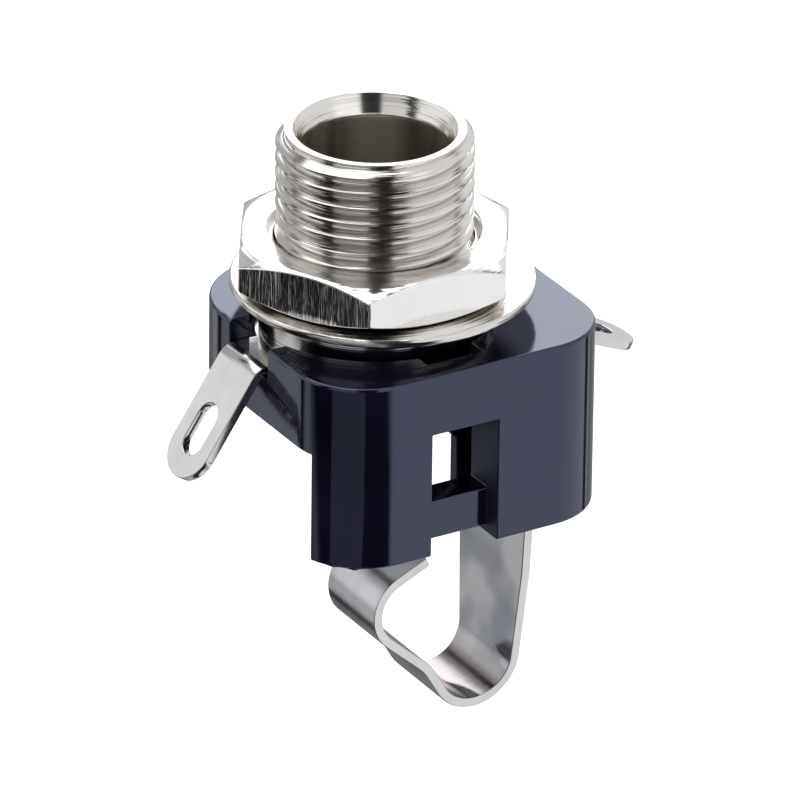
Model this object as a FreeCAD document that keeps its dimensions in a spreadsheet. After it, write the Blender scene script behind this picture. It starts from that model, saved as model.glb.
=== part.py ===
import FreeCAD, Part
import Sketcher
import math
import os
import re

from FreeCAD import Placement, Rotation, Vector

# Quarter inch phone jack for a panel hole: nickel-plated threaded bushing with nut and washer, black moulded
# housing, sleeve contact with its solder tag on the left and tip contact with its tag on the right.
#
# Frame: millimetres, +Z along the bushing's axis towards the plug's mouth. The origin is on that axis at the
# shoulder that the panel is clamped against. -Y is the side with the window, +X the side of the tip contact.

# Driving sizes, each written once.
SIZES = {
    # Bushing
    "thread_diameter": 9.0,
    "thread_pitch": 0.75,
    "thread_depth": 0.42,
    "thread_crest": 0.12,
    "thread_foot": 0.4,
    "bore_diameter": 6.5,
    "mouth_height": 7.7,
    "mouth_cone_radius": 3.72,
    "mouth_cone_depth": 0.94,
    "lip_radius": 4.11,
    "lip_chamfer": 0.45,
    "shoulder_radius": 5.2,
    "tail_radius": 3.75,
    "tail_rim_radius": 4.1,
    "tail_rim_height": 0.5,
    "turned_edge": 0.1,
    # Nut and washer
    "nut_across_flats": 12.0,
    "nut_height": 2.4,
    "nut_chamfer_drop": 0.62,
    "nut_face_radius": 5.75,
    "nut_countersink": 0.35,
    "nut_edge": 0.12,
    "nut_angle": 2.0,
    "thread_clearance": 0.05,
    "washer_diameter": 13.9,
    "washer_height": 0.4,
    "washer_slack": 1.0,
    "washer_shift": 0.41,
    "washer_shift_angle": 31.0,
    "washer_edge_break": 0.08,
    # Housing
    "housing_left": 6.45,
    "housing_right": 8.55,
    "housing_front": 7.7,
    "housing_back": 7.0,
    "front_corner": 3.4,
    "back_corner": 4.5,
    "housing_top": 1.2,
    "plate_thickness": 3.7,
    "wall_drop": 9.0,
    "front_wall": 2.4,
    "right_wall": 1.1,
    "cheek_wall": 0.6,
    "cheek_inside": 3.4,
    "cheek_left": 2.1,
    "gusset": 1.8,
    "recess_radius": 5.7,
    "recess_depth": 1.5,
    "hole_clearance": 0.1,
    "slot_width": 3.4,
    "slot_shift": 0.1,
    "sleeve_shift": 0.25,
    "notch_left": 0.95,
    "notch_right": 1.95,
    "notch_front": 6.4,
    "window_left": 1.37,
    "window_right": 2.05,
    "window_top": 4.1,
    "window_recess": 0.9,
    "bar_top": 7.9,
    "bar_bottom": 9.8,
    "moulded_edge": 0.15,
    # Contacts
    "strip_thickness": 0.45,
    "tag_width": 3.05,
    "tag_hole_width": 1.45,
    "tag_hole_length": 2.6,
    "tag_hole_end": 1.1,
    "ring_radius": 5.4,
    "bend_radius": 0.7,
    "sleeve_bend": 6.25,
    "sleeve_tag_angle": 56.0,
    "sleeve_tag_length": 5.68,
    "tip_width": 5.6,
    "tip_clearance": 0.1,
    "tip_tag_height": 4.05,
    "tip_tag_bend": 8.75,
    "tip_tag_angle": 23.0,
    "tip_tag_length": 4.9,
    "leg_gap": 0.08,
    "loop_across": 4.37,
    "loop_height": 19.58,
    "loop_radius": 2.03,
    "loop_width": 4.3,
    "taper_height": 15.2,
    "nose_leg_bend_left": 0.13,
    "nose_leg_bend_drop": 1.28,
    "nose_leg_bend_radius": 2.5,
    "nose_across": 1.0,
    "nose_rise": 3.48,
    "nose_radius": 1.8,
    "nose_width": 4.2,
    "nose_end_angle": 24.0,
    "nose_end_length": 1.7,
}

document = FreeCAD.newDocument("PhoneJack")
sheet = document.addObject("Spreadsheet::Sheet", "Sizes")
for row, (alias, number) in enumerate(SIZES.items(), start=1):
    sheet.set(f"A{row}", alias)
    sheet.set(f"B{row}", str(number))
    sheet.setAlias(f"B{row}", alias)
document.recompute()


def size(alias):
    """Read one driving size from the sheet."""
    return float(sheet.get(alias))


def bound(expression):
    """Put the sheet's name before each size that an expression uses."""
    return re.sub(r"\w+", lambda word: f"Sizes.{word[0]}" if word[0] in SIZES else word[0], expression)


def value(expression):
    """Work out an expression of sizes, as the sheet would."""
    return float(sheet.evalExpression(bound(expression)))


def origin_plane(body, role):
    """Find one of a body's own origin planes, such as XY_Plane."""
    return next(plane for plane in body.Origin.OriginFeatures if plane.Role == role)


def new_body(label):
    body = document.addObject("PartDesign::Body", label)
    body.Label = label
    return body


def new_sketch(body, name, role, shift=None):
    """Lay a sketch on a body's origin plane, moved off it by an expression where one is given."""
    sketch = body.newObject("Sketcher::SketchObject", name)
    sketch.AttachmentSupport = [(origin_plane(body, role), "")]
    sketch.MapMode = "FlatFace"
    if shift:
        sketch.setExpression("AttachmentOffset.Base.z", bound(shift))
    return sketch


def pin_point(sketch, geometry, end, across, along):
    """Hold one point of a sketch at two expressions, measured from the sketch's origin."""
    for kind, expression in (("DistanceX", across), ("DistanceY", along)):
        number = sketch.addConstraint(Sketcher.Constraint(kind, -1, 1, geometry, end, value(expression)))
        sketch.setExpression(f"Constraints[{number}]", bound(expression))


def outline(body, name, role, corners, shift=None):
    """Draw a closed outline of straight lines, each corner held by two expressions."""
    sketch = new_sketch(body, name, role, shift)
    points = [Vector(value(across), value(along), 0) for across, along in corners]
    for here, there in zip(points, points[1:] + points[:1]):
        sketch.addGeometry(Part.LineSegment(here, there))
    count = len(points)
    for number, (across, along) in enumerate(corners):
        previous = (number - 1) % count
        sketch.addConstraint(Sketcher.Constraint("Coincident", previous, 2, number, 1))
        pin_point(sketch, number, 1, across, along)
    return sketch


def rectangle(body, name, role, left, right, low, high, shift=None):
    corners = [(left, low), (right, low), (right, high), (left, high)]
    return outline(body, name, role, corners, shift)


def circles(body, name, role, rings, shift=None):
    """Draw circles, each given by two centre expressions and a radius expression."""
    sketch = new_sketch(body, name, role, shift)
    for number, (across, along, radius) in enumerate(rings):
        centre = Vector(value(across), value(along), 0)
        sketch.addGeometry(Part.Circle(centre, Vector(0, 0, 1), value(radius)))
        pin_point(sketch, number, 3, across, along)
        held = sketch.addConstraint(Sketcher.Constraint("Radius", number, value(radius)))
        sketch.setExpression(f"Constraints[{held}]", bound(radius))
    return sketch


def pad(body, name, sketch, length, reverse=False, middle=False):
    feature = body.newObject("PartDesign::Pad", name)
    feature.Profile = sketch
    feature.setExpression("Length", bound(length))
    feature.Reversed = reverse
    feature.Midplane = middle
    document.recompute()
    return feature


def pocket(body, name, sketch, length, reverse=False, middle=False):
    """Cut a pocket, and stop if it took nothing away."""
    before = body.Shape.Volume
    feature = body.newObject("PartDesign::Pocket", name)
    feature.Profile = sketch
    feature.setExpression("Length", bound(length))
    feature.Reversed = reverse
    feature.Midplane = middle
    document.recompute()
    if body.Shape.Volume > before - 1e-6:
        raise RuntimeError(f"{name} cuts nothing")
    return feature


def round_edges(body, name, chosen, radius, kind="PartDesign::Fillet"):
    """Round or bevel the edges that a test picks out of the body's last feature."""
    base = body.Tip
    edges = [f"Edge{number}" for number, edge in enumerate(base.Shape.Edges, start=1) if chosen(edge)]
    if not edges:
        raise RuntimeError(f"{name} finds no edge")
    feature = body.newObject(kind, name)
    feature.Base = (base, edges)
    feature.setExpression("Radius" if kind.endswith("Fillet") else "Size", bound(radius))
    document.recompute()
    return feature


def revolve(body, name, sketch):
    """Turn a profile drawn on the XZ plane about the body's Z axis."""
    feature = body.newObject("PartDesign::Revolution", name)
    feature.Profile = sketch
    feature.ReferenceAxis = (sketch, ["V_Axis"])
    feature.Angle = 360.0
    document.recompute()
    return feature


def heading(angle):
    return Vector(math.cos(angle), math.sin(angle), 0)


def normal_end(centre, radius, turn, angle):
    """The point of a bend where the strip's heading is the given angle."""
    return centre + Vector(math.sin(angle), -math.cos(angle), 0) * radius * turn


def common_tangent(centre, radius, turn, next_centre, next_radius, next_turn):
    """Heading of the straight run that leaves one bend and enters the next."""
    across = next_centre - centre
    offset = (turn * radius - next_turn * next_radius) / across.Length
    return math.atan2(across.y, across.x) + math.asin(offset)


def half_swing(difference, turn):
    """Half of the angle that a bend turns through, positive to the left and negative to the right."""
    full = 2 * math.pi
    return (difference % full if turn > 0 else -(-difference % full)) / 2


def strip_path(body, name, bends, first_heading, end_heading, end_length, start=None):
    """Draw a strip's middle line on the XZ plane: straight runs joined by tangent bends.

    A bend is (across, along, radius, turn), with turn 1 to the left and -1 to the right. Without a start
    point the line begins on the first bend, beside its centre. It ends in a straight run.
    """
    sketch = new_sketch(body, name, "XZ_Plane")
    centres = [Vector(value(across), value(along), 0) for across, along, _, _ in bends]
    radii = [value(radius) for _, _, radius, _ in bends]
    turns = [turn for _, _, _, turn in bends]
    angle = math.radians(first_heading)
    last = None
    if start:
        first = Vector(value(start[0]), value(start[1]), 0)
        last = (sketch.addGeometry(Part.LineSegment(first, normal_end(centres[0], radii[0], turns[0], angle))), 2)
        pin_point(sketch, last[0], 1, *start)
    for number, (across, along, radius, turn) in enumerate(bends):
        if number + 1 < len(bends):
            leave = common_tangent(centres[number], radii[number], turn, centres[number + 1],
                                   radii[number + 1], turns[number + 1])
        else:
            leave = math.radians(value(end_heading))
        middle = angle + half_swing(leave - angle, turn)
        ends = [normal_end(centres[number], radii[number], turn, at) for at in (angle, middle, leave)]
        arc = sketch.addGeometry(Part.Arc(*ends))
        enter_end, leave_end = (1, 2) if turn > 0 else (2, 1)
        if last:
            sketch.addConstraint(Sketcher.Constraint("Tangent", *last, arc, enter_end))
        else:
            sketch.addConstraint(Sketcher.Constraint("Vertical", arc, enter_end, arc, 3))
        pin_point(sketch, arc, 3, across, along)
        held = sketch.addConstraint(Sketcher.Constraint("Radius", arc, radii[number]))
        sketch.setExpression(f"Constraints[{held}]", bound(radius))
        if number + 1 < len(bends):
            there = normal_end(centres[number + 1], radii[number + 1], turns[number + 1], leave)
        else:
            there = ends[2] + Vector(math.cos(leave), math.sin(leave), 0) * value(end_length)
        line = sketch.addGeometry(Part.LineSegment(ends[2], there))
        sketch.addConstraint(Sketcher.Constraint("Tangent", arc, leave_end, line, 1))
        last = (line, 2)
        angle = leave
    held = sketch.addConstraint(Sketcher.Constraint("Distance", last[0], value(end_length)))
    sketch.setExpression(f"Constraints[{held}]", bound(end_length))
    held = sketch.addConstraint(Sketcher.Constraint("Angle", last[0], math.radians(value(end_heading))))
    sketch.setExpression(f"Constraints[{held}]", bound(f"( {end_heading} ) * 1 deg"))
    return sketch


def strip(body, name, width, middle_height, spine, shift, side="0 * strip_thickness"):
    """Sweep the strip's section, drawn across the YZ plane, along its middle line."""
    left = f"{side} - {width} / 2"
    right = f"{side} + {width} / 2"
    low = f"{middle_height} - strip_thickness / 2"
    high = f"{middle_height} + strip_thickness / 2"
    section = rectangle(body, f"{name}Section", "YZ_Plane", left, right, low, high, shift)
    pipe = body.newObject("PartDesign::AdditivePipe", name)
    pipe.Profile = section
    pipe.Spine = (spine, [])
    document.recompute()
    return pipe


def tag_hole(body, name, angle_expression, across, along, side="0 * strip_thickness"):
    """Cut the round-ended solder hole through a tag that leans by an angle about the Y axis."""
    sketch = body.newObject("Sketcher::SketchObject", name + "Outline")
    sketch.AttachmentSupport = [(origin_plane(body, "XY_Plane"), "")]
    sketch.MapMode = "FlatFace"
    sketch.AttachmentOffset = Placement(Vector(), Rotation(Vector(0, 1, 0), 1))
    sketch.setExpression("AttachmentOffset.Rotation.Angle", bound(angle_expression))
    sketch.setExpression("AttachmentOffset.Base.x", bound(across))
    sketch.setExpression("AttachmentOffset.Base.z", bound(along))
    sketch.setExpression("AttachmentOffset.Base.y", bound(side))
    radius = value("tag_hole_width / 2")
    reach = value("( tag_hole_length - tag_hole_width ) / 2")
    low_right = Vector(reach, -radius, 0)
    high_right = Vector(reach, radius, 0)
    high_left = Vector(-reach, radius, 0)
    low_left = Vector(-reach, -radius, 0)
    right = sketch.addGeometry(Part.Arc(low_right, Vector(reach + radius, 0, 0), high_right))
    left = sketch.addGeometry(Part.Arc(high_left, Vector(-reach - radius, 0, 0), low_left))
    top = sketch.addGeometry(Part.LineSegment(high_right, high_left))
    low = sketch.addGeometry(Part.LineSegment(low_left, low_right))
    for first, second in ((right, top), (top, left), (left, low), (low, right)):
        sketch.addConstraint(Sketcher.Constraint("Tangent", first, 2, second, 1))
    pin_point(sketch, right, 3, "( tag_hole_length - tag_hole_width ) / 2", "0 * tag_hole_width")
    pin_point(sketch, left, 3, "( tag_hole_width - tag_hole_length ) / 2", "0 * tag_hole_width")
    held = sketch.addConstraint(Sketcher.Constraint("Radius", right, radius))
    sketch.setExpression(f"Constraints[{held}]", bound("tag_hole_width / 2"))
    return pocket(body, name, sketch, "tag_width", middle=True)


# Heights that several pieces share, measured down from the panel's seat.
PLATE_BOTTOM = "housing_top + plate_thickness"
WALL_BOTTOM = "housing_top + wall_drop"
RECESS_FLOOR = "housing_top + recess_depth"
RING_TOP = f"{RECESS_FLOOR} - strip_thickness"
WALL_INSIDE = "housing_right - right_wall"
POCKET_HALF = "tip_width / 2 + tip_clearance"
CHEEK_OUTSIDE = "cheek_inside + cheek_wall"
LEG_MIDDLE = f"{WALL_INSIDE} - leg_gap - strip_thickness / 2"
LOOP_BOTTOM = "loop_height + loop_radius"
NOSE_HEIGHT = "loop_height - nose_rise"
NONE = "0 * housing_top"


def make_housing():
    """The moulded housing: a block with its underside cut away behind the front wall."""
    body = new_body("housing")
    plan = rectangle(body, "HousingPlan", "XY_Plane", "- housing_left", "housing_right", "- housing_front",
                     "housing_back", "- housing_top")
    pad(body, "HousingBlock", plan, "wall_drop", reverse=True)
    round_edges(body, "FrontCorners", lambda edge: is_upright(edge) and edge.CenterOfMass.y < 0, "front_corner")
    round_edges(body, "BackCorners", lambda edge: is_upright(edge) and edge.CenterOfMass.y > 0, "back_corner")
    round_edges(body, "OuterEdges", lambda edge: not is_upright(edge), "moulded_edge")
    back_face = "- housing_front + front_wall"
    beyond_left = "- housing_left - right_wall"
    beyond_right = "housing_right + right_wall"
    beyond_back = "housing_back + right_wall"
    below = outline(body, "UndersidePlan", "XY_Plane", [
        (beyond_left, back_face),
        (WALL_INSIDE, back_face),
        (WALL_INSIDE, f"- ( {CHEEK_OUTSIDE} )"),
        ("cheek_left", f"- ( {CHEEK_OUTSIDE} )"),
        ("cheek_left", "- cheek_inside"),
        (WALL_INSIDE, "- cheek_inside"),
        (WALL_INSIDE, "cheek_inside"),
        ("cheek_left", "cheek_inside"),
        ("cheek_left", CHEEK_OUTSIDE),
        (beyond_right, CHEEK_OUTSIDE),
        (beyond_right, beyond_back),
        (beyond_left, beyond_back),
    ], f"- ( {WALL_BOTTOM} )")
    pocket(body, "Underside", below, "wall_drop - plate_thickness", reverse=True)
    gussets = (("FrontGusset", CHEEK_OUTSIDE), ("BackGusset", "- cheek_inside"))
    for name, plane in gussets:
        web = outline(body, name + "Outline", "XZ_Plane", [
            ("cheek_left", f"- ( {PLATE_BOTTOM} )"),
            ("cheek_left - gusset", f"- ( {PLATE_BOTTOM} )"),
            ("cheek_left", f"- ( {PLATE_BOTTOM} ) - gusset"),
        ], plane)
        pad(body, name, web, "cheek_wall", reverse=True)
    top = "- housing_top"
    recess = circles(body, "RecessPlan", "XY_Plane", [(NONE, NONE, "recess_radius")], top)
    pocket(body, "Recess", recess, "recess_depth")
    hole = circles(body, "HolePlan", "XY_Plane", [(NONE, NONE, "tail_radius + hole_clearance")], top)
    pocket(body, "BushingHole", hole, "plate_thickness")
    rim = circles(body, "RimSeatPlan", "XY_Plane", [(NONE, NONE, "tail_rim_radius + hole_clearance")],
                  f"- ( {PLATE_BOTTOM} )")
    pocket(body, "RimSeat", rim, "tail_rim_height", reverse=True)
    slot = rectangle(body, "TongueSlotPlan", "XY_Plane", beyond_left, NONE, "slot_shift - slot_width / 2",
                     "slot_shift + slot_width / 2", top)
    pocket(body, "TongueSlot", slot, "recess_depth")
    notch = rectangle(body, "NotchPlan", "XY_Plane", "- notch_left", "notch_right", "- notch_front", NONE, top)
    pocket(body, "Notch", notch, "recess_depth")
    lowest = f"- ( {WALL_BOTTOM} ) - bar_top"
    cuts = (("WindowRecess", lowest, "- window_top", "window_recess"),
            ("Window", "- bar_top", "- window_top", "front_wall"),
            ("BarRelief", lowest, "- bar_bottom", "front_wall"))
    for name, low, high, depth in cuts:
        face = rectangle(body, name + "Outline", "XZ_Plane", "- window_left", "window_right", low, high,
                         "housing_front")
        pocket(body, name, face, depth)
    bend_space = rectangle(body, "BendSpacePlan", "XY_Plane", f"{LEG_MIDDLE} - strip_thickness", WALL_INSIDE,
                           f"- ( {POCKET_HALF} )", POCKET_HALF, f"- ( {PLATE_BOTTOM} )")
    pocket(body, "BendSpace", bend_space, f"{PLATE_BOTTOM} - tip_tag_height + strip_thickness", reverse=True)
    tag_slot = rectangle(body, "TagSlotOutline", "YZ_Plane", "- tag_width / 2 - tip_clearance",
                         "tag_width / 2 + tip_clearance", lowest,
                         "- tip_tag_height + strip_thickness / 2 + tip_clearance", "housing_right")
    pocket(body, "TagSlot", tag_slot, "right_wall")
    return body


def is_upright(edge):
    """An edge that runs straight along Z."""
    across = edge.Vertexes[-1].Point - edge.Vertexes[0].Point
    return abs(across.x) + abs(across.y) < 1e-6 < abs(across.z)


def thread_rings():
    """The thread, drawn as one V-shaped ring for each turn of its pitch."""
    crest = "thread_diameter / 2"
    count = int(value("( mouth_height - lip_chamfer - thread_foot ) / thread_pitch"))
    rings = []
    for number in range(count):
        low = f"thread_foot + {number} * thread_pitch"
        rings += [
            (crest, low),
            (f"{crest} - thread_depth", f"{low} + ( thread_pitch - thread_crest ) / 2"),
            (crest, f"{low} + thread_pitch - thread_crest"),
        ]
    return rings


def make_bushing():
    """The turned sleeve: mouth, threaded barrel, shoulder, and tail rolled over into the plate's underside."""
    body = new_body("threaded_bushing")
    foot = f"- ( {PLATE_BOTTOM} )"
    rim_top = f"{foot} + tail_rim_height"
    profile = outline(body, "BushingProfile", "XZ_Plane", [
        ("bore_diameter / 2", foot),
        ("tail_rim_radius", foot),
        ("tail_rim_radius", rim_top),
        ("tail_radius", rim_top),
        ("tail_radius", f"- ( {RING_TOP} )"),
        ("shoulder_radius", f"- ( {RING_TOP} )"),
        ("shoulder_radius", NONE),
        ("thread_diameter / 2", NONE),
        *thread_rings(),
        ("thread_diameter / 2", "mouth_height - lip_chamfer"),
        ("lip_radius", "mouth_height"),
        ("mouth_cone_radius", "mouth_height"),
        ("bore_diameter / 2", "mouth_height - mouth_cone_depth"),
    ])
    revolve(body, "BushingTurning", profile)
    shoulder = size("shoulder_radius")
    round_edges(body, "ShoulderEdges", lambda edge: edge.BoundBox.XMax > shoulder - 1e-3, "turned_edge",
                "PartDesign::Chamfer")
    return body


def groove(body, name, profile):
    """Turn a cut about the body's Z axis, and stop if it takes nothing away."""
    before = body.Shape.Volume
    feature = body.newObject("PartDesign::Groove", name)
    feature.Profile = profile
    feature.ReferenceAxis = (profile, ["V_Axis"])
    feature.Angle = 360.0
    document.recompute()
    if body.Shape.Volume > before - 1e-6:
        raise RuntimeError(f"{name} cuts nothing")
    return feature


def make_nut():
    """The hexagon nut, with the corners of both faces turned off and a small countersink on both sides."""
    body = new_body("hex_nut")
    corner = "nut_across_flats / sqrt( 3 )"
    flat = "nut_across_flats / 2"
    plan = outline(body, "NutPlan", "XY_Plane", [
        (corner, NONE),
        (f"{corner} / 2", flat),
        (f"- {corner} / 2", flat),
        (f"- {corner}", NONE),
        (f"- {corner} / 2", f"- {flat}"),
        (f"{corner} / 2", f"- {flat}"),
    ])
    pad(body, "NutBlock", plan, "nut_height")
    round_edges(body, "NutEdges", is_upright, "nut_edge")
    hole_radius = "thread_diameter / 2 + thread_clearance"
    hole = circles(body, "NutHolePlan", "XY_Plane", [(NONE, NONE, hole_radius)])
    pocket(body, "NutHole", hole, "nut_height", reverse=True)
    outside = f"2 * {corner} - nut_face_radius"
    for side, face, inward in (("Top", "nut_height", "-"), ("Low", NONE, "+")):
        bevel = outline(body, f"{side}BevelProfile", "XZ_Plane", [
            ("nut_face_radius", face),
            (outside, face),
            (outside, f"{face} {inward} 2 * nut_chamfer_drop"),
        ])
        groove(body, f"{side}Bevel", bevel)
        sink = outline(body, f"{side}SinkProfile", "XZ_Plane", [
            ("thread_diameter / 4", face),
            (f"{hole_radius} + nut_countersink", face),
            (f"{hole_radius} - nut_countersink", f"{face} {inward} 2 * nut_countersink"),
            ("thread_diameter / 4", f"{face} {inward} 2 * nut_countersink"),
        ])
        groove(body, f"{side}Sink", sink)
    body.Placement = Placement(Vector(0, 0, size("washer_height")), Rotation(Vector(0, 0, 1), -size("nut_angle")))
    return body


def make_washer():
    """The plain washer, which hangs a little to one side in its loose hole."""
    body = new_body("washer")
    rings = [(NONE, NONE, "washer_diameter / 2"), (NONE, NONE, "( thread_diameter + washer_slack ) / 2")]
    pad(body, "WasherRing", circles(body, "WasherPlan", "XY_Plane", rings), "washer_height")
    round_edges(body, "WasherEdges", lambda edge: len(edge.Vertexes) == 1, "washer_edge_break",
                "PartDesign::Chamfer")
    angle = math.radians(size("washer_shift_angle"))
    shift = size("washer_shift")
    body.Placement = Placement(Vector(shift * math.cos(angle), -shift * math.sin(angle), 0), Rotation())
    return body


def make_sleeve_contact():
    """The sleeve contact: a ring under the bushing's shoulder, with a tongue bent down into a solder tag."""
    body = new_body("sleeve_contact")
    rings = [(NONE, NONE, "ring_radius"), (NONE, NONE, "tail_radius + hole_clearance")]
    ring = circles(body, "RingPlan", "XY_Plane", rings, f"- ( {RECESS_FLOOR} )")
    pad(body, "Ring", ring, "strip_thickness")
    middle = f"- ( {RECESS_FLOOR} ) + strip_thickness / 2"
    bend_height = f"{middle} - bend_radius"
    inside = "( ring_radius + tail_radius + hole_clearance ) / 2"
    path = strip_path(body, "SleevePath", [("- sleeve_bend", bend_height, "bend_radius", 1)], 180,
                      "sleeve_tag_angle - 180", "sleeve_tag_length", (f"- {inside}", middle))
    strip(body, "Tongue", "tag_width", middle, path, f"- {inside}", "sleeve_shift")
    round_edges(body, "SleeveTagEnd", end_corners(body, -1), "tag_width * 0.48")
    to_hole = "( sleeve_tag_length - tag_hole_end - tag_hole_length / 2 )"
    tag_hole(body, "SleeveTagHole", "- sleeve_tag_angle",
             f"- sleeve_bend - bend_radius * sin( sleeve_tag_angle ) - {to_hole} * cos( sleeve_tag_angle )",
             f"{bend_height} + bend_radius * cos( sleeve_tag_angle ) - {to_hole} * sin( sleeve_tag_angle )",
             "sleeve_shift")
    return body


def end_corners(body, side):
    """A test for the two short edges at the outer end of a tag, on the side -1 or 1 of the axis."""
    thick = size("strip_thickness")
    short = [edge for edge in body.Tip.Shape.Edges if len(edge.Vertexes) == 2 and abs(edge.Length - thick) < 1e-4]
    reach = max(side * edge.CenterOfMass.x for edge in short)
    return lambda edge: abs(edge.Length - thick) < 1e-4 and side * edge.CenterOfMass.x > reach - thick


def make_tip_contact():
    """The fixed part of the tip strip: tag, bend in the housing, back leg and half of the loop."""
    body = new_body("tip_contact")
    bend_across = f"{LEG_MIDDLE} + bend_radius"
    bend_height = "- tip_tag_height - bend_radius"
    path = strip_path(body, "LegPath", [
        ("loop_across", "- loop_height", "loop_radius", 1),
        (bend_across, bend_height, "bend_radius", -1),
        ("tip_tag_bend", bend_height, "bend_radius", -1),
    ], 0, "- tip_tag_angle", "tip_tag_length")
    strip(body, "Leg", "tip_width", f"- ( {LOOP_BOTTOM} )", path, "loop_across")
    for side, name in ((1, "Back"), (-1, "Front")):
        sign = "" if side > 0 else "- "
        step = rectangle(body, f"{name}StepPlan", "XY_Plane", f"{LEG_MIDDLE} + strip_thickness / 2",
                         "tip_tag_bend + bend_radius + tip_tag_length",
                         *sorted_pair(side, "tag_width / 2", "tip_width"))
        pocket(body, f"{name}Step", step, "loop_height", middle=True)
        taper = outline(body, f"{name}TaperOutline", "YZ_Plane", [
            (f"{sign}tip_width / 2", "- taper_height"),
            (f"{sign}loop_width / 2", f"strip_thickness / 2 - ( {LOOP_BOTTOM} )"),
            (f"{sign}loop_width / 2", f"- ( {LOOP_BOTTOM} ) - strip_thickness"),
            (f"{sign}tip_width", f"- ( {LOOP_BOTTOM} ) - strip_thickness"),
            (f"{sign}tip_width", "- taper_height"),
        ])
        pocket(body, f"{name}Taper", taper, "4 * housing_right", middle=True)
    round_edges(body, "TipTagEnd", end_corners(body, 1), "tag_width * 0.48")
    to_hole = "( tip_tag_length - tag_hole_end - tag_hole_length / 2 )"
    tag_hole(body, "TipTagHole", "tip_tag_angle",
             f"tip_tag_bend + bend_radius * sin( tip_tag_angle ) + {to_hole} * cos( tip_tag_angle )",
             f"{bend_height} + bend_radius * cos( tip_tag_angle ) - {to_hole} * sin( tip_tag_angle )")
    return body


def sorted_pair(side, near, far):
    """Two expressions in rising order, on the side 1 or -1 of the middle."""
    return (near, far) if side > 0 else (f"- {far}", f"- {near}")


def make_tip_spring():
    """The free part of the tip strip: the rest of the loop, the slightly bent leg up and the rounded nose."""
    body = new_body("tip_spring")
    path = strip_path(body, "NosePath", [
        ("loop_across", "- loop_height", "loop_radius", -1),
        ("- nose_leg_bend_left", "- loop_height - nose_leg_bend_drop", "nose_leg_bend_radius", 1),
        ("nose_across", f"- ( {NOSE_HEIGHT} )", "nose_radius", -1),
    ], 180, "nose_end_angle", "nose_end_length")
    strip(body, "Nose", "loop_width", f"- ( {LOOP_BOTTOM} )", path, "loop_across")
    for side, name in ((1, "Back"), (-1, "Front")):
        sign = "" if side > 0 else "- "
        taper = outline(body, f"{name}NoseTaperOutline", "YZ_Plane", [
            (f"{sign}loop_width / 2", "- loop_height"),
            (f"{sign}nose_width / 2", f"- ( {NOSE_HEIGHT} )"),
            (f"{sign}nose_width / 2", NONE),
            (f"{sign}loop_width", NONE),
            (f"{sign}loop_width", "- loop_height"),
        ])
        pocket(body, f"{name}NoseTaper", taper, "4 * housing_right", middle=True)
    return body


bodies = [make_housing(), make_bushing(), make_nut(), make_washer(), make_sleeve_contact(), make_tip_contact(),
          make_tip_spring()]
document.recompute()

for item in document.Objects:
    if {"Invalid", "Error"} & set(item.State):
        raise RuntimeError(f"{item.Name} did not build: {item.State}")
for body in bodies:
    if body.Shape.isNull() or not body.Shape.isValid() or not body.Shape.Solids:
        raise RuntimeError(f"{body.Label} has no valid shape")

os.makedirs("parts", exist_ok=True)
for body in bodies:
    body.Shape.exportStep(f"parts/{body.Label}.step")
    box = body.Shape.BoundBox
    print(f"{body.Label}: {len(body.Shape.Solids)} solid, {body.Shape.Volume:.2f} mm3, "
          f"X {box.XMin:.2f} {box.XMax:.2f} Y {box.YMin:.2f} {box.YMax:.2f} Z {box.ZMin:.2f} {box.ZMax:.2f}")
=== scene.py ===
# %% [markdown]
# A quarter inch phone jack, as a lesson in small turned and stamped parts. The packed model is the fixed
# frame: it gives every piece its place, and this script only gives the pieces their finish.

# %% Load the frame
import math

import bmesh
import bpy
from mathutils import Matrix, Vector


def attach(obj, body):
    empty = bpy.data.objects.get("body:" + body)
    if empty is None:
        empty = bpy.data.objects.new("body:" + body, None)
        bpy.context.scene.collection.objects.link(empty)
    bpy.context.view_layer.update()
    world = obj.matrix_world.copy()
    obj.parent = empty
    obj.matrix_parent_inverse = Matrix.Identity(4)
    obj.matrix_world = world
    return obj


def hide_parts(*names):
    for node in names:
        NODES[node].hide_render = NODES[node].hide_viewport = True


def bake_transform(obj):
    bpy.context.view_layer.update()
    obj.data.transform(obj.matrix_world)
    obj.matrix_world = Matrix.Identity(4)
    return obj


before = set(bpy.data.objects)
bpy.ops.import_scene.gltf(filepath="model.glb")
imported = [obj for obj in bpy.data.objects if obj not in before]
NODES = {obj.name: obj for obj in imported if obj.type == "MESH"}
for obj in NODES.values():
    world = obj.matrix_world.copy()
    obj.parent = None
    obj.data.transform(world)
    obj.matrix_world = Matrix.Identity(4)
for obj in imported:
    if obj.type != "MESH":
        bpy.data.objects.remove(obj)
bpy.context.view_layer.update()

MM = 0.001
print("frame holds", sorted(NODES))

# %% [markdown]
# The photograph looks down on the jack from its front left through a long lens. A long lens far away keeps
# upright edges nearly parallel, so the camera stands half a metre off and its focal length does the framing.

# %% Camera
VIEW_DISTANCE = 500 * MM
VIEW_TURN = math.radians(30.79)
VIEW_DROP = math.radians(26.43)
VIEW_ROLL = math.radians(0.73)
LOOK_AT = Vector((0, 0, -4.3 * MM))
SLIDE_RIGHT = -1.253 * MM
SLIDE_UP = 1.478 * MM
FOCAL_PIXELS = 11034.8
PICTURE_PIXELS = 800
SENSOR_MM = 36


def view_axes():
    """The camera's right, up and forward directions."""
    level = Vector((math.sin(VIEW_TURN), math.cos(VIEW_TURN), 0))
    forward = level * math.cos(VIEW_DROP) - Vector((0, 0, math.sin(VIEW_DROP)))
    right = Vector((math.cos(VIEW_TURN), -math.sin(VIEW_TURN), 0))
    return right, right.cross(forward), forward


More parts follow.
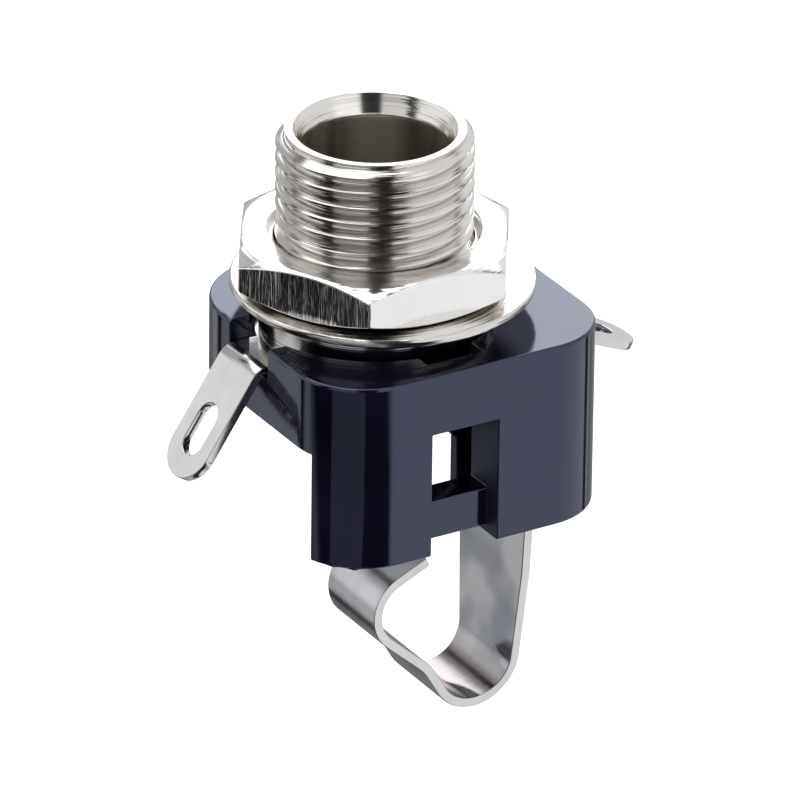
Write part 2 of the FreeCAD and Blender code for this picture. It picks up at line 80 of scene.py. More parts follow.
def make_camera():
    right, up, forward = view_axes()
    spot = LOOK_AT - forward * VIEW_DISTANCE - right * SLIDE_RIGHT - up * SLIDE_UP
    turn = Matrix((right, up, -forward)).transposed().to_4x4()
    roll = Matrix.Rotation(VIEW_ROLL, 4, "Z")
    data = bpy.data.cameras.new("view_camera")
    data.sensor_width = SENSOR_MM
    data.lens = FOCAL_PIXELS * SENSOR_MM / PICTURE_PIXELS
    data.clip_start = 0.01
    camera = bpy.data.objects.new("view_camera", data)
    camera.matrix_world = Matrix.Translation(spot) @ turn @ roll
    bpy.context.collection.objects.link(camera)
    bpy.context.scene.camera = camera
    return camera


make_camera()
print("lens in mm:", round(FOCAL_PIXELS * SENSOR_MM / PICTURE_PIXELS, 1))

# %% [markdown]
# A material or a world in Blender is a tree of nodes. Written out in full, each node takes three or four lines,
# so a small class keeps the tree and gives every kind of node that is used here one short word.

# %% Node wiring
def set_ramp(ramp, stops):
    """Give a colour ramp its stops, each a place and a grey or a colour."""
    while len(ramp.elements) > 1:
        ramp.elements.remove(ramp.elements[-1])
    for number, (place, tone) in enumerate(stops):
        colour = (tone, tone, tone, 1) if isinstance(tone, (int, float)) else (*tone, 1)
        stop = ramp.elements[0] if number == 0 else ramp.elements.new(place)
        stop.position = place
        stop.color = colour


class Wiring:
    """A short way to write a node tree."""

    def __init__(self, tree):
        self.tree = tree

    def node(self, kind, **settings):
        made = self.tree.nodes.new(kind)
        for key, setting in settings.items():
            setattr(made, key, setting)
        return made

    def feed(self, socket, source):
        """Link a source to a socket, or set the socket where the source is a plain value."""
        if isinstance(source, bpy.types.NodeSocket):
            self.tree.links.new(source, socket)
        else:
            socket.default_value = source

    def math(self, operation, first, second=0.0, third=0.0):
        made = self.node("ShaderNodeMath", operation=operation)
        for socket, source in zip(made.inputs, (first, second, third)):
            self.feed(socket, source)
        return made.outputs[0]

    def product(self, first, *others):
        for other in others:
            first = self.math("MULTIPLY", first, other)
        return first

    def plus(self, base, part, share):
        """The base and a share of the part."""
        return self.math("MULTIPLY_ADD", part, share, base)

    def ease(self, source, start, end, low=0.0, high=1.0):
        """Go smoothly from low to high while the source goes from start to end."""
        made = self.node("ShaderNodeMapRange", interpolation_type="SMOOTHSTEP")
        for name, number in (("Value", source), ("From Min", start), ("From Max", end), ("To Min", low),
                             ("To Max", high)):
            self.feed(made.inputs[name], number)
        return made.outputs["Result"]

    def split(self, vector):
        made = self.node("ShaderNodeSeparateXYZ")
        self.feed(made.inputs[0], vector)
        return made.outputs

    def join(self, x, y, z):
        made = self.node("ShaderNodeCombineXYZ")
        for socket, source in zip(made.inputs, (x, y, z)):
            self.feed(socket, source)
        return made.outputs[0]

    def noise(self, vector, scale, detail=3.0):
        made = self.node("ShaderNodeTexNoise")
        self.feed(made.inputs["Vector"], vector)
        made.inputs["Scale"].default_value = scale
        made.inputs["Detail"].default_value = detail
        return made.outputs["Fac"]

    def ramp(self, source, stops):
        made = self.node("ShaderNodeValToRGB")
        self.feed(made.inputs[0], source)
        set_ramp(made.color_ramp, stops)
        return made.outputs["Color"]

    def mix(self, factor, first, second):
        made = self.node("ShaderNodeMix", data_type="RGBA")
        self.feed(made.inputs[0], factor)
        self.feed(made.inputs[6], first if isinstance(first, bpy.types.NodeSocket) else (*first, 1))
        self.feed(made.inputs[7], second if isinstance(second, bpy.types.NodeSocket) else (*second, 1))
        return made.outputs[2]

    def bump(self, height, strength, distance, after=None):
        made = self.node("ShaderNodeBump")
        self.feed(made.inputs["Height"], height)
        made.inputs["Strength"].default_value = strength
        made.inputs["Distance"].default_value = distance
        if after:
            self.feed(made.inputs["Normal"], after)
        return made.outputs["Normal"]


print("words for nodes:", [word for word in vars(Wiring) if not word.startswith("_")])

# %% [markdown]
# Bright metal shows its surroundings, so the room matters more than the lamps. Lamps alone would leave the
# metal black between their reflections, and a studio picture is not allowed here, so the world itself is
# written as a white tent of soft panels. A direction is given by three numbers, from the camera's own place:
# how far it points to the right, to the back (away from the camera) and up. Most walls of the jack are upright
# and are seen from above, so they mirror directions that point down, and "low" is 1 for those.

# %% Tent panels
scene = bpy.context.scene
scene.view_settings.view_transform = "Standard"
LEFT_PANEL = 0.50
RIGHT_PANEL = 0.86
LOW_SHARE = 0.45
LOW_RIGHT_PANEL = 0.56
LEFT_EDGE_PANEL = 0.5
BACK_PANEL = 2.1
SHOULDER_PANEL = 0.3


def tent_panels(wiring, right, back, up, front, low):
    """How bright the tent is in each direction."""
    # The two large panels: the right one is paler, and both get darker low down.
    light = wiring.ease(right, -0.15, 0.35, LEFT_PANEL, RIGHT_PANEL)
    light = wiring.product(light, wiring.ease(low, 0.0, 1.0, 1.0, LOW_SHARE))
    # Low on the right, for the housing's front wall and the nut's right flat.
    light = wiring.plus(light, wiring.product(low, wiring.ease(right, 0.60, 0.66)), LOW_RIGHT_PANEL)
    # Low on the left, for the strip's inner face, and much weaker below that, for the housing's left wall.
    low_left = wiring.product(wiring.ease(right, -0.4, -0.6), wiring.ease(back, -0.15, 0.0),
                              wiring.ease(up, -0.545, -0.515, 0.12, 0.45))
    light = wiring.plus(light, low, low_left)
    # Far left, for the thread's left side and the top of the sleeve tag.
    left_edge = wiring.product(wiring.ease(right, -0.7, -0.88), wiring.ease(up, -0.25, 0.0))
    light = wiring.plus(light, left_edge, LEFT_EDGE_PANEL)
    # The brightest panel stands behind the jack and makes the tops of plate, washer and nut white.
    behind = wiring.product(wiring.ease(up, 0.1, 0.35), wiring.ease(back, 0.6, 0.8),
                            wiring.ease(wiring.math("ABSOLUTE", right), 0.45, 0.3), wiring.ease(up, 0.69, 0.61))
    light = wiring.plus(light, behind, BACK_PANEL)
    # Over the camera's shoulder, for the bell of the mouth.
    shoulder = wiring.product(wiring.ease(up, 0.0, 0.15), wiring.ease(up, 0.65, 0.5), wiring.ease(front, 0.3, 0.5))
    return wiring.plus(light, shoulder, SHOULDER_PANEL)


print("panels from", LEFT_PANEL, "on the left to", RIGHT_PANEL, "on the right")

# %% [markdown]
# A tent that is white all round gives flat grey metal. The dark bands down the thread, the dark flat of the nut
# and the dark corner of the housing come from gaps between the panels: one in front, where the camera looks in,
# one to the left, which leans, and one on each side. A gap is a middle and a half width, with soft edges, and
# both may change with the direction, so that the same gap lies right for upright walls and for the thread.

# %% Tent gaps
GAP_SOFTNESS = 0.02
GAP_LIGHT = 0.03


def gap(wiring, across, middle, half):
    """A dark gap between two panels: 1 inside it and 0 outside, with soft edges."""
    off = wiring.math("ABSOLUTE", wiring.math("SUBTRACT", across, middle))
    inside = wiring.math("SUBTRACT", half, off)
    return wiring.ease(inside, -GAP_SOFTNESS, GAP_SOFTNESS)


def tent_gaps(wiring, right, back, up, front, low):
    """1 inside the gaps and 0 outside."""
    # The front gap widens towards the camera and shifts to the right low down.
    middle = wiring.plus(wiring.plus(0.06, front, 0.06), low, 0.22)
    half = wiring.plus(wiring.plus(0.12, front, 0.14), low, 0.03)
    front_gap = wiring.product(gap(wiring, right, middle, half), wiring.ease(back, 0.35, 0.15))
    # The left gap leans: its middle follows a curve in the height.
    middle = wiring.plus(-0.857, up, wiring.plus(0.035, up, 0.504))
    half = wiring.plus(0.065, low, 0.045)
    left_gap = wiring.product(gap(wiring, right, middle, half), wiring.ease(back, 0.33, 0.25))
    # The side gaps stand towards the back, low down and high up, away from the middle.
    side_gap = wiring.product(gap(wiring, back, 0.52, 0.06), wiring.ease(wiring.math("ABSOLUTE", right), 0.4, 0.5),
                              wiring.math("MAXIMUM", low, wiring.ease(up, 0.5, 0.6)))
    return wiring.math("MAXIMUM", wiring.math("MAXIMUM", front_gap, left_gap), side_gap)


print("a gap's edge fades over", 2 * GAP_SOFTNESS)

# %% [markdown]
# The world joins panels and gaps. Its directions are turned by the camera's turn, so that "right" is the
# picture's right. What the camera sees directly is plain white: the Light Path node keeps that apart from what
# the metal mirrors. One soft lamp above adds the faint shadow on the floor.

# %% World and lamp
def make_world():
    world = bpy.data.worlds.new("tent")
    scene.world = world
    world.use_nodes = True
    world.node_tree.nodes.clear()
    wiring = Wiring(world.node_tree)
    turn = wiring.node("ShaderNodeVectorRotate", rotation_type="Z_AXIS")
    wiring.feed(turn.inputs["Vector"], wiring.node("ShaderNodeTexCoord").outputs["Generated"])
    wiring.feed(turn.inputs["Angle"], VIEW_TURN)
    right, back, up = wiring.split(turn.outputs[0])
    front = wiring.math("MAXIMUM", wiring.math("MULTIPLY", back, -1.0), 0.0)
    low = wiring.product(wiring.ease(up, -0.05, -0.3), wiring.ease(up, -0.95, -0.7))
    light = tent_panels(wiring, right, back, up, front, low)
    dark = tent_gaps(wiring, right, back, up, front, low)
    strength = wiring.product(light, wiring.ease(dark, 0.0, 1.0, 1.0, GAP_LIGHT))
    tent = wiring.node("ShaderNodeBackground")
    tent.inputs["Color"].default_value = (0.97, 0.98, 1.0, 1)
    wiring.feed(tent.inputs["Strength"], strength)
    white = wiring.node("ShaderNodeBackground")
    white.inputs["Color"].default_value = (1, 1, 1, 1)
    pick = wiring.node("ShaderNodeMixShader")
    wiring.feed(pick.inputs[0], wiring.node("ShaderNodeLightPath").outputs["Is Camera Ray"])
    wiring.feed(pick.inputs[1], tent.outputs[0])
    wiring.feed(pick.inputs[2], white.outputs[0])
    wiring.feed(wiring.node("ShaderNodeOutputWorld").inputs["Surface"], pick.outputs[0])


def add_lamp(name, spot, side, power):
    """A soft box: a square area lamp at a spot, facing the jack."""
    data = bpy.data.lights.new(name, "AREA")
    data.size = side
    data.energy = power
    lamp = bpy.data.objects.new(name, data)
    lamp.location = spot
    lamp.rotation_euler = (LOOK_AT - lamp.location).to_track_quat("-Z", "Y").to_euler()
    bpy.context.collection.objects.link(lamp)


make_world()
add_lamp("overhead_box", Vector((-20, 60, 170)) * MM, 150 * MM, 0.12)
print("lamps:", len(bpy.data.lights))

# %% [markdown]
# The floor is a wide pale sheet below the jack. Seen straight by the camera it reads as white paper, and it
# still takes the jack's soft shadow. Mirror rays pass through it, so that the metal sees the tent all round.

# %% Floor
FLOOR_HEIGHT = -40 * MM
FLOOR_HALF = 1.5
FLOOR_GLOW = 0.62


def make_floor():
    mesh = bpy.data.meshes.new("floor")
    sheet = bmesh.new()
    bmesh.ops.create_grid(sheet, x_segments=1, y_segments=1, size=FLOOR_HALF)
    bmesh.ops.translate(sheet, vec=(0, 0, FLOOR_HEIGHT), verts=sheet.verts)
    sheet.to_mesh(mesh)
    sheet.free()
    floor = bpy.data.objects.new("floor", mesh)
    bpy.context.collection.objects.link(floor)
    paper = bpy.data.materials.new("white_paper")
    paper.use_nodes = True
    paper.node_tree.nodes.clear()
    wiring = Wiring(paper.node_tree)
    diffuse = wiring.node("ShaderNodeBsdfDiffuse")
    diffuse.inputs["Color"].default_value = (0.85, 0.85, 0.85, 1)
    path = wiring.node("ShaderNodeLightPath")
    glow = wiring.node("ShaderNodeEmission")
    wiring.feed(glow.inputs["Strength"], wiring.math("MULTIPLY", path.outputs["Is Camera Ray"], FLOOR_GLOW))
    both = wiring.node("ShaderNodeAddShader")
    wiring.feed(both.inputs[0], diffuse.outputs[0])
    wiring.feed(both.inputs[1], glow.outputs[0])
    unseen = wiring.node("ShaderNodeBsdfTransparent")
    pick = wiring.node("ShaderNodeMixShader")
    wiring.feed(pick.inputs[0], path.outputs["Is Glossy Ray"])
    wiring.feed(pick.inputs[1], both.outputs[0])
    wiring.feed(pick.inputs[2], unseen.outputs[0])
    wiring.feed(wiring.node("ShaderNodeOutputMaterial").inputs["Surface"], pick.outputs[0])
    mesh.materials.append(paper)


make_floor()
print("floor in mm below the shoulder:", round(-FLOOR_HEIGHT / MM))

# %% [markdown]
# Every metal here is nickel plate, and the housing is glossy plastic. The principled shader makes both, so one
# helper sets up a material on it. Patterns read Object coordinates: they then stay on the piece when it moves,
# and they come out the same in every view.

# %% Finish helper
class Finish(Wiring):
    """A material built on the principled shader."""

    def __init__(self, name):
        self.material = bpy.data.materials.new(name)
        self.material.use_nodes = True
        super().__init__(self.material.node_tree)
        self.shader = self.tree.nodes["Principled BSDF"]
        self.where = self.node("ShaderNodeTexCoord").outputs["Object"]

    def done(self, colour, roughness, normal):
        self.feed(self.shader.inputs["Base Color"], colour)
        self.feed(self.shader.inputs["Roughness"], roughness)
        self.feed(self.shader.inputs["Normal"], normal)
        return self.material


print("a finish also knows", [word for word in vars(Finish) if not word.startswith("_")])

# %% [markdown]
# The bushing and the washer are turned on a lathe, whose tool leaves fine rings round the axis. A noise that is
# read by radius and height alone, and not by the angle, gives such rings. It only drives a bump, because the
# rings are scratches and not paint. Shade is painted into the plate's colour: a little darker in the roots of
# the thread, though not on the bell of the mouth, which keeps the plain plate colour, and darker in the bore.
# Along the bore run rubs from plugs going in and out, painted strong enough to stand for streaks of reflection,
# and a painted highlight lies on the bore's far wall.

# %% Turned nickel
NICKEL = (0.80, 0.77, 0.73)
BORE_SIDE = 3.45 * MM
BELL_FOOT = 6.7 * MM


def lathe_place(wiring):
    """Where a point lies on a turned piece: its radius and its height, and nothing about its angle."""
    x, y, z = wiring.split(wiring.where)
    radius = wiring.math("SQRT", wiring.plus(wiring.product(x, x), y, y))
    return radius, z


def bore_shade_rubs_and_highlight(wiring, x, y, z):
    """Painted shade in the bore, rubs that stand in for reflection streaks too, and a painted far-wall highlight.
    """
    # Painted shade: the bore is coloured darker, and its rubs also stand in for streaks of reflection.
    rubs_and_painted_streaks = wiring.noise(wiring.join(x, y, wiring.product(z, 0.04)), 900, 2.0)
    tone = wiring.ramp(rubs_and_painted_streaks, [(0.35, (0.34, 0.31, 0.27)), (0.65, (0.70, 0.67, 0.60))])
    # Painted highlight: the bore's far wall, which faces the camera, is coloured nearly white.
    far = wiring.plus(wiring.product(x, 0.5), y, 0.866)
    return wiring.mix(wiring.ease(far, 2.9 * MM, 3.2 * MM, 0.0, 0.9), tone, (1.0, 0.97, 0.88))


def turned_nickel():
    wiring = Finish("turned_nickel")
    wiring.shader.inputs["Metallic"].default_value = 1.0
    x, y, z = wiring.split(wiring.where)
    radius, _ = lathe_place(wiring)
    cloud = wiring.noise(wiring.where, 350, 4.0)
    in_bore = wiring.product(wiring.ease(radius, BORE_SIDE, BORE_SIDE - 0.17 * MM),
                             wiring.ease(z, BELL_FOOT + 0.16 * MM, BELL_FOOT))
    on_bell = wiring.product(wiring.ease(radius, 4.15 * MM, 4.05 * MM),
                             wiring.ease(z, BELL_FOOT - 0.1 * MM, BELL_FOOT + 0.1 * MM))
    tone = wiring.ramp(cloud, [(0.3, (0.72, 0.69, 0.655)), (0.7, NICKEL)])
    # Painted shade: whatever lies inside the roots' radius is coloured darker, for the shade between the teeth.
    tone = wiring.mix(wiring.ease(radius, 4.24 * MM, 4.12 * MM), tone, (0.62, 0.59, 0.57))
    # The bell of the mouth keeps the plain plate colour, free of the painted root shade.
    tone = wiring.mix(on_bell, tone, NICKEL)
    tone = wiring.mix(in_bore, tone, bore_shade_rubs_and_highlight(wiring, x, y, z))
    rough = wiring.plus(wiring.ramp(cloud, [(0.3, 0.12), (0.75, 0.20)]), in_bore, 0.2)
    rings = wiring.noise(wiring.join(radius, 0.0, z), 7000, 2.0)
    rings = wiring.product(rings, wiring.ease(in_bore, 0.0, 1.0, 1.0, 0.2))
    return wiring.done(tone, rough, wiring.bump(rings, 0.8, 0.05 * MM))


TURNED = turned_nickel()
print("made", TURNED.name)

# %% [markdown]
# The nut is cut from drawn hexagon bar. Its two faces are turned, so they have rings. Its flats still have the
# scores of the drawing die, which run along the axis. The two patterns are mixed by the True Normal: where it
# leans little, the face is upright. The flat that the photograph shows in the dark is scored much deeper than
# the others, so the scores grow towards that side.

# %% Drawn nickel
def drawn_nickel():
    wiring = Finish("drawn_nickel")
    wiring.shader.inputs["Metallic"].default_value = 1.0
    x, y, z = wiring.split(wiring.where)
    radius, _ = lathe_place(wiring)
    cloud = wiring.noise(wiring.where, 350, 4.0)
    rings = wiring.noise(wiring.join(radius, 0.0, z), 7000, 2.0)
    scores = wiring.noise(wiring.join(x, y, wiring.product(z, 0.06)), 5600, 3.0)
    scores = wiring.product(scores, wiring.ease(x, -3.3 * MM, -3.9 * MM, 0.9, 3.6))
    _, _, lean = wiring.split(wiring.node("ShaderNodeNewGeometry").outputs["True Normal"])
    marks = wiring.node("ShaderNodeMix", data_type="FLOAT")
    wiring.feed(marks.inputs[0], wiring.ease(wiring.math("ABSOLUTE", lean), 0.35, 0.15))
    wiring.feed(marks.inputs[2], rings)
    wiring.feed(marks.inputs[3], scores)
    tone = wiring.ramp(cloud, [(0.3, (0.86, 0.845, 0.83)), (0.7, (0.93, 0.92, 0.91))])
    rough = wiring.ramp(cloud, [(0.3, 0.10), (0.75, 0.20)])
    return wiring.done(tone, rough, wiring.bump(marks.outputs[0], 0.35, 0.04 * MM))


DRAWN = drawn_nickel()
print("made", DRAWN.name)

# %% [markdown]
# Both contacts are stamped from rolled strip. Rolling leaves a satin face with a fine grain along the strip,
# and the plate over it has shallow dimples. Lower down the loop the colour turns darker: bluish grey in soft
# patches on the leg, and warmer at the foot. The strip's cut edges keep the plain tone. They are the faces whose
# True Normal points along Y, so these darker tones are faded out there.

# %% Stamped nickel
DULL_NICKEL = (0.64, 0.625, 0.62)
# Darker tones low on the loop: bluish grey on the leg and warmer at the foot.
LOW_BLUE_GREY = (0.30, 0.31, 0.345)
FOOT_WARM_GREY = (0.36, 0.325, 0.32)


def stamped_nickel():
    wiring = Finish("stamped_nickel")
    wiring.shader.inputs["Metallic"].default_value = 1.0
    x, y, z = wiring.split(wiring.where)
    grain = wiring.noise(wiring.join(wiring.product(x, 0.08), y, wiring.product(z, 0.08)), 9000, 2.0)
    cloud = wiring.noise(wiring.where, 500, 4.0)
    _, side, _ = wiring.split(wiring.node("ShaderNodeNewGeometry").outputs["True Normal"])
    on_face = wiring.ease(wiring.math("ABSOLUTE", side), 0.7, 0.4)
    # Bluish grey in soft patches lower down the leg, and warmer at the foot of the loop, both kept off the cut
    # edges.
    blue = wiring.product(wiring.ease(wiring.noise(wiring.where, 210, 2.0), 0.36, 0.56, 1.0, 0.35),
                          wiring.ease(z, -9.5 * MM, -11.5 * MM), on_face)
    warm = wiring.product(wiring.ease(z, -20 * MM, -21 * MM), wiring.ease(x, 3.0 * MM, 4.2 * MM), on_face)
    tone = wiring.ramp(cloud, [(0.3, DULL_NICKEL), (0.7, (0.73, 0.72, 0.715))])
    tone = wiring.mix(warm, wiring.mix(blue, tone, LOW_BLUE_GREY), FOOT_WARM_GREY)
    rough = wiring.ramp(cloud, [(0.3, 0.12), (0.75, 0.20)])
    dimples = wiring.bump(cloud, 0.25, 0.06 * MM)
    return wiring.done(tone, rough, wiring.bump(grain, 0.12, 0.02 * MM, dimples))


STAMPED = stamped_nickel()
print("made", STAMPED.name)

# %% [markdown]
# The housing is moulded in black plastic. Most of what the eye takes for its colour is its gloss: a nearly
# black base, a strong reflection with a bluish tint, and a faint ripple from the mould. The inner walls of the
# window and the slots were made by the mould's cores, which are never polished, so they are duller. They are
# found as the faces that point to the left but don't lie on the outer left wall.

# %% Black moulding
OUTER_LEFT = -6.1 * MM


def black_moulding():
    wiring = Finish("glossy_black")
    wiring.shader.inputs["IOR"].default_value = 1.6
    wiring.shader.inputs["Specular IOR Level"].default_value = 0.85
    wiring.shader.inputs["Specular Tint"].default_value = (0.62, 0.70, 1.0, 1)
    x, _, _ = wiring.split(wiring.where)
    facing, _, _ = wiring.split(wiring.node("ShaderNodeNewGeometry").outputs["True Normal"])
    cored = wiring.product(wiring.ease(facing, -0.9, -0.97), wiring.ease(x, OUTER_LEFT, OUTER_LEFT + 0.4 * MM))
    cloud = wiring.noise(wiring.where, 260, 4.0)
    tone = wiring.ramp(cloud, [(0.3, (0.003, 0.0025, 0.0085)), (0.7, (0.0085, 0.0065, 0.019))])
    rough = wiring.plus(wiring.ramp(cloud, [(0.3, 0.08), (0.75, 0.13)]), cored, 0.5)
    ripple = wiring.bump(cloud, 0.10, 0.10 * MM)
    fine = wiring.noise(wiring.where, 6000, 2.0)
    return wiring.done(tone, rough, wiring.bump(fine, 0.04, 0.02 * MM, ripple))


BLACK = black_moulding()
print("made", BLACK.name)

# %% [markdown]
# A mesh from CAD has knife edges, and a knife edge never catches the light. A real edge is rounded by a few
# hundredths of a millimetre, which draws a thin bright line. So the pieces are not the CAD meshes with a
# material: each is a welded copy, whose triangles are joined back into whole faces, and whose sharp edges are
# then rounded with a bevel. Joining first matters, because a bevel can't run across stray triangles.

# %% Welding
WELD = 0.002 * MM
SEAM_WELD = 0.06 * MM
FLAT_TURN = math.radians(1.0)


def welded(node_names, seam=None):
    """Copy CAD nodes into one mesh, leaving out the end faces at a seam plane across X."""
    work = bmesh.new()
    for node_name in node_names:
        part = NODES[node_name].data.copy()
        part.transform(NODES[node_name].matrix_world)
        work.from_mesh(part)
        bpy.data.meshes.remove(part)
    bmesh.ops.remove_doubles(work, verts=work.verts, dist=WELD)
    if seam is not None:
        inner = [face for face in work.faces if all(abs(corner.co.x - seam) < WELD for corner in face.verts)]
        bmesh.ops.delete(work, geom=inner, context="FACES_ONLY")
        meeting = [corner for corner in work.verts if abs(corner.co.x - seam) < WELD]
        bmesh.ops.remove_doubles(work, verts=meeting, dist=SEAM_WELD)
    bmesh.ops.dissolve_limit(work, angle_limit=FLAT_TURN, verts=work.verts, edges=work.edges)
    return work


print("corners closer than", WELD / MM, "mm are welded")

# %% Edge breaks
EDGE_TURN = math.radians(42)


def break_edges(work, width, steps=2, kept=None):
    """Round every sharp edge but those that the test for kept edges names."""
    sharp = [edge for edge in work.edges if len(edge.link_faces) == 2 and edge.calc_face_angle(0) > EDGE_TURN]
    sharp = [edge for edge in sharp if not (kept and kept(edge))]
    bmesh.ops.bevel(work, geom=sharp, offset=width, offset_type="OFFSET", affect="EDGES", segments=steps,
                    profile=0.5, material=-1, clamp_overlap=False)
    return work


print("edges sharper than", round(math.degrees(EDGE_TURN)), "degrees are rounded")

# %% [markdown]
# A finished piece is shaded smooth, but where two faces turn by more than a limit the edge stays crisp. Smooth
# shading alone bends the light on a flat face near its rounded edges, so a Weighted Normal modifier gives each
# corner the direction of its largest face. Chamfers turn by less than the usual limit and need a lower one.

# %% Finishing a piece
SHADE_TURN = math.radians(50)
CHAMFER_TURN = math.radians(25)
LARGEST_FACE_ONLY = 100


def finished(name, work, material, body, slot_name, *stands_for, crisp=SHADE_TURN):
    """Turn a working mesh into a piece that rides a body and stands for CAD nodes."""
    bmesh.ops.recalc_face_normals(work, faces=work.faces)
    mesh = bpy.data.meshes.new(name)
    work.to_mesh(mesh)
    work.free()
    mesh.materials.append(material)
    mesh.shade_smooth()
    mesh.set_sharp_from_angle(angle=crisp)
    piece = bpy.data.objects.new(name, mesh)
    bpy.context.collection.objects.link(piece)
    even = piece.modifiers.new("even_normals", "WEIGHTED_NORMAL")
    even.keep_sharp = True
    even.weight = LARGEST_FACE_ONLY
    if body:
        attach(piece, body)
    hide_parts(*stands_for)
    print(name, "has", len(mesh.polygons), "faces and measures", [round(side / MM, 2) for side in piece.dimensions])
    return piece


print("chamfers keep crisp edges from", round(math.degrees(CHAMFER_TURN)), "degrees")

# %% [markdown]
# The bushing is drawn the way it is made, because the CAD thread is only a row of rings with plain flanks. A
# lathe gives the plain parts: half of the outline is spun once round the axis. Each inner corner of the outline
# is eased first, so the turned edges catch the light too.

# %% Lathe
TURN_STEPS = 144


def spun(work, outline, rise=0.0):
    """Spin an open outline of (radius, height) pairs once round the Z axis."""
    corners = [work.verts.new((radius, 0, height)) for radius, height in outline]
    lines = [work.edges.new(pair) for pair in zip(corners, corners[1:])]
    bmesh.ops.spin(work, geom=corners + lines, cent=(0, 0, 0), axis=(0, 0, 1), dvec=(0, 0, rise / TURN_STEPS),
                   angle=2 * math.pi, steps=TURN_STEPS, use_merge=not rise)


def eased(outline, width):
    """Replace each inner corner of an outline with three points of a small round."""
    points = [Vector(point) for point in outline]
    result = [points[0]]
    for before, corner, after in zip(points, points[1:], points[2:]):
        step = min(width, (corner - before).length * 0.4, (after - corner).length * 0.4)
        start = corner + (before - corner).normalized() * step
        end = corner + (after - corner).normalized() * step
        result += [start, corner * 0.5 + (start + end) * 0.25, end]
    return [tuple(point) for point in result + [points[-1]]]


print("a full turn has", TURN_STEPS, "steps")

# %% [markdown]
# The thread is the same spin with a rise of one pitch, so that its saw-tooth outline meets itself one tooth
# higher up. Where the thread runs into the chamfer at the mouth its crest is cut down to it, and at its foot
# it runs out into the plain neck.

# %% Thread
PITCH = 0.75 * MM
CREST = 4.5 * MM
ROOT = 4.04 * MM
MOUTH = 7.7 * MM
LIP = 4.11 * MM
LIP_CHAMFER = 0.45 * MM
THREAD_FOOT = 0.3 * MM
# One tooth: how far up the pitch, and how high between root and crest.
TOOTH = ((0.05, 0.0), (0.14, 0.05), (0.42, 0.91), (0.46, 0.99), (0.59, 0.99), (0.63, 0.91), (0.91, 0.05))


def thread_outline():
    low = THREAD_FOOT - 2 * PITCH
    count = math.ceil((MOUTH - low) / PITCH)
    return [(ROOT + (CREST - ROOT) * part, low + (number + up) * PITCH)
            for number in range(count) for up, part in TOOTH]


def trimmed(corner):
    """Cut one point of the thread down to the run-out at its foot and the chamfer at the mouth."""
    height = min(max(corner.z, THREAD_FOOT), MOUTH)
    limit = min(LIP + (MOUTH - height) * (CREST - LIP) / LIP_CHAMFER, ROOT + (height - THREAD_FOOT))
    radius = math.hypot(corner.x, corner.y)
    wanted = LIP if height == MOUTH else max(min(radius, limit), ROOT)
    return Vector((corner.x * wanted / radius, corner.y * wanted / radius, height))


print("teeth one above the other:", len(thread_outline()) // len(TOOTH))

# %% Bushing
SHOULDER = 5.2 * MM
SHOULDER_FOOT = -2.25 * MM
TAIL = 3.75 * MM
RIM = 4.1 * MM
RIM_TOP = -4.4 * MM
TAIL_END = -4.9 * MM
BORE = 3.25 * MM
BELL_START = 6.76 * MM
BELL = 3.72 * MM
TURNED_EDGE = 0.09 * MM


def make_bushing():
    work = bmesh.new()
    spun(work, thread_outline(), PITCH)
    for corner in work.verts:
        corner.co = trimmed(corner.co)
    # From the foot of the thread down the outside, and up through the bore to the lip.
    plain = [(ROOT, THREAD_FOOT), (ROOT, 0), (SHOULDER, 0), (SHOULDER, SHOULDER_FOOT), (TAIL, SHOULDER_FOOT),
             (TAIL, RIM_TOP), (RIM, RIM_TOP), (RIM, TAIL_END), (BORE, TAIL_END), (BORE, BELL_START),
             (BELL, MOUTH), (LIP, MOUTH)]
    spun(work, eased(plain, TURNED_EDGE))
    bmesh.ops.remove_doubles(work, verts=work.verts, dist=WELD)
    finished("bushing_turning", work, TURNED, "jack_body", "nickel_turning", "threaded_bushing", crisp=CHAMFER_TURN)


make_bushing()

# %% [markdown]
# The CAD nut already has its hexagon, its chamfers and its countersinks. It needs rounder corners than the
# stamped pieces, because bar stock is drawn with them, and crisp chamfers: they bound the bright arcs on top.
# It rides the nut's own body, which climbs the thread.

# %% Nut
NUT_BREAK = 0.05 * MM
finished("nut_turning", break_edges(welded(["hex_nut"]), NUT_BREAK, 4), DRAWN, "nut", "nickel_turning",
         "hex_nut", crisp=CHAMFER_TURN)

# %% [markdown]
# The housing is one moulding. A mould's edges are rounder than cut ones, so its break is the widest. At this
# size a modelled round of two steps is enough, and subdividing the whole piece would soften its flat walls.

# %% Housing
HOUSING_BREAK = 0.07 * MM
finished("housing_moulding", break_edges(welded(["housing"]), HOUSING_BREAK), BLACK, "jack_body",
         "black_moulding", "housing")

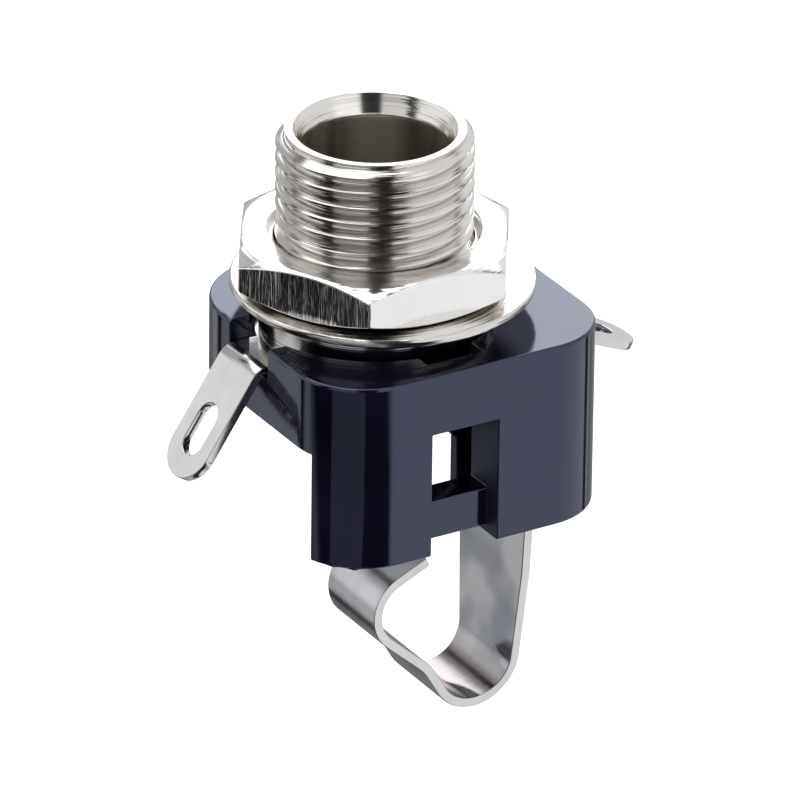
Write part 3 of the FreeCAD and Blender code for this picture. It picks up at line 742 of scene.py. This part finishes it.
# %% [markdown]
# The sleeve contact is a stamped ring with a tag. A press leaves one edge of the strip slightly rounded and the
# other slightly burred. Both read as a thin line at this size, so one narrow break on all edges does.

# %% Sleeve contact
STRIP_BREAK = 0.045 * MM
finished("sleeve_stamping", break_edges(welded(["sleeve_contact"]), STRIP_BREAK), STAMPED, "jack_body",
         "plated_strip", "sleeve_contact")

# %% [markdown]
# The tip contact is one strip from its tag to its nose, although CAD splits it at the foot of the loop so that
# the nose can be pushed aside. Here both halves are welded back into one strip: the end faces at the seam are
# left out, and the corners on both sides of it are joined. At the tag's root the tag's side leaves the plate in
# a wedge too thin to round, so the edges there stay as they are.

# %% Tip strip
LOOP_MIDDLE = 4.37 * MM
TAG_SIDE = 1.525 * MM
TAG_ROOT = (7.1 * MM, 7.9 * MM)
TAG_ROOT_TOP = -2.5 * MM
SIDE_REACH = 0.03 * MM


def at_tag_root(edge):
    """Whether an edge runs along the tag's side at its root."""
    return all(TAG_ROOT[0] < corner.co.x < TAG_ROOT[1] and abs(abs(corner.co.y) - TAG_SIDE) < SIDE_REACH
               and corner.co.z < TAG_ROOT_TOP for corner in edge.verts)


tip_work = break_edges(welded(["tip_contact", "tip_spring"], LOOP_MIDDLE), STRIP_BREAK, kept=at_tag_root)
tip_strip = finished("tip_stamping", tip_work, STAMPED, None, "plated_strip", "tip_contact", "tip_spring")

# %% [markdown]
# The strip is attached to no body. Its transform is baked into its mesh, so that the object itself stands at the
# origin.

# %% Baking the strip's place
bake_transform(tip_strip)

# %% [markdown]
# The washer is thin, so the break takes up much of its rim and draws the bright line along it. It lies a little
# off centre, as a loose washer does, and rides its own body.

# %% Washer
WASHER_BREAK = 0.03 * MM
finished("washer_turning", break_edges(welded(["washer"]), WASHER_BREAK), TURNED, "washer", "nickel_turning",
         "washer")

# %% [markdown]
# Looks never change a part's size. Each finished piece prints its measures as it is made.
